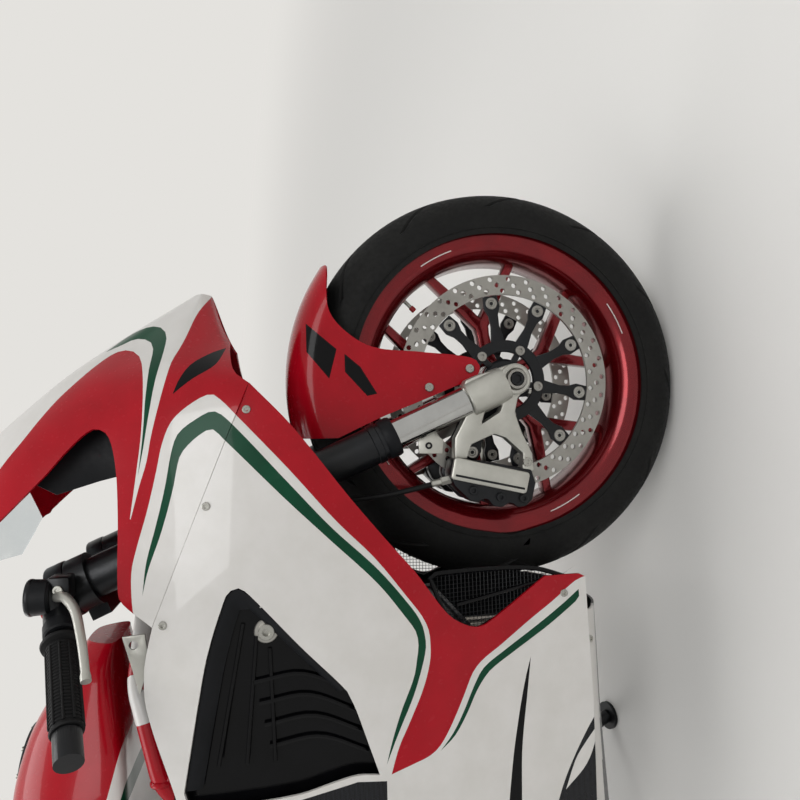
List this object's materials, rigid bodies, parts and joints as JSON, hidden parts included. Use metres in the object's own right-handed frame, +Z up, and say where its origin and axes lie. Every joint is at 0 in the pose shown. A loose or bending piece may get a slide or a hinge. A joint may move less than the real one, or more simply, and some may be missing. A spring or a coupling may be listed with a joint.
{
  "type": "sport bike",
  "caption": "Fully faired sport bike leaning on its side stand, with clip-on bars, hollow axles and freely turning wheels.",
  "frame": {"origin": "on the floor, at the middle of the leaning bike's box", "axes": "+X towards the front wheel, +Y to the bike's left where the side stand is, +Z up"},
  "size_m": [2.0566, 0.6778, 1.0715],
  "materials": {
    "red_paint": "gloss candy red lacquer",
    "red_panel": "gloss red painted plastic",
    "white_panel": "gloss white painted plastic with green and red stripes",
    "black_plastic": "moulded black plastic",
    "black_metal": "black anodised or coated aluminium",
    "cast_silver": "satin machined and cast aluminium",
    "chrome": "hard chromed steel tube",
    "steel": "ground stainless steel",
    "tyre": "black tyre rubber",
    "rubber": "ribbed black rubber",
    "engine_metal": "dark coated cast aluminium",
    "exhaust_metal": "heat-toned stainless steel",
    "seat_cover": "black grained seat cover",
    "clear_screen": "clear moulded screen",
    "lamp_lens": "clear lamp lens",
    "red_lens": "red lamp lens"
  },
  "bodies": {
    "chassis": {"frame_trellis": "red_paint", "pivot_plates": "cast_silver", "engine": "engine_metal", "front_sprocket": "steel", "radiator": "black_metal", "exhaust": "exhaust_metal", "swingarm": "cast_silver", "chain": "steel", "rear_caliper": "black_metal", "shock": "red_paint", "subframe": "black_metal", "fuel_tank": "red_panel", "seat_rider": "seat_cover", "tail_cowl": "red_panel", "seat_pillion": "seat_cover", "tail_light": "red_lens", "side_fairing_right": "white_panel", "side_fairing_left": "white_panel", "duct_grilles": "black_plastic", "front_cowl": "red_panel", "windscreen": "clear_screen", "fairing_stay": "black_metal", "headlight": "lamp_lens", "dash": "black_plastic", "belly_pan": "black_plastic", "rearsets": "black_metal", "plate_holder": "black_plastic"},
    "steering": {"front_axle": "cast_silver", "fork_feet": "cast_silver", "front_calipers": "cast_silver", "fork_outer_tubes": "black_metal", "fork_stanchions": "chrome", "fork_yokes": "black_metal", "handlebars": "black_metal", "grips": "rubber", "hand_controls": "black_metal", "front_fender": "red_panel", "brake_hose": "rubber"},
    "front_wheel": {"front_rim": "red_paint", "front_tyre": "tyre", "front_discs": "steel", "disc_carriers": "black_metal"},
    "rear_wheel": {"rear_rim": "red_paint", "rear_tyre": "tyre", "rear_shaft": "steel", "rear_disc": "steel", "rear_sprocket": "steel"},
    "side_stand": {"side_stand": "black_metal"}
  },
  "joints": [
    {"name": "steering", "type": "hinge", "parent": "chassis", "child": "steering", "pos_m": [0.70198, -0.11627, 0.28293], "axis": [-0.3983, 0.2001, 0.8952], "range_deg": [-26, 26]},
    {"name": "front_wheel_spin", "type": "hinge", "parent": "steering", "child": "front_wheel", "pos_m": [0.7284, -0.11377, 0.29412], "axis": [-0.0001, 0.9759, -0.2181], "continuous": true},
    {"name": "rear_wheel_spin", "type": "hinge", "parent": "chassis", "child": "rear_wheel", "pos_m": [-0.6516, -0.11049, 0.30948], "axis": [-0.0001, 0.9759, -0.2181], "continuous": true},
    {"name": "side_stand_fold", "type": "hinge", "parent": "chassis", "child": "side_stand", "pos_m": [0.00836, 0.00318, 0.22952], "axis": [0, 0.9997, 0.0262], "range_deg": [0, 100]}
  ]
}
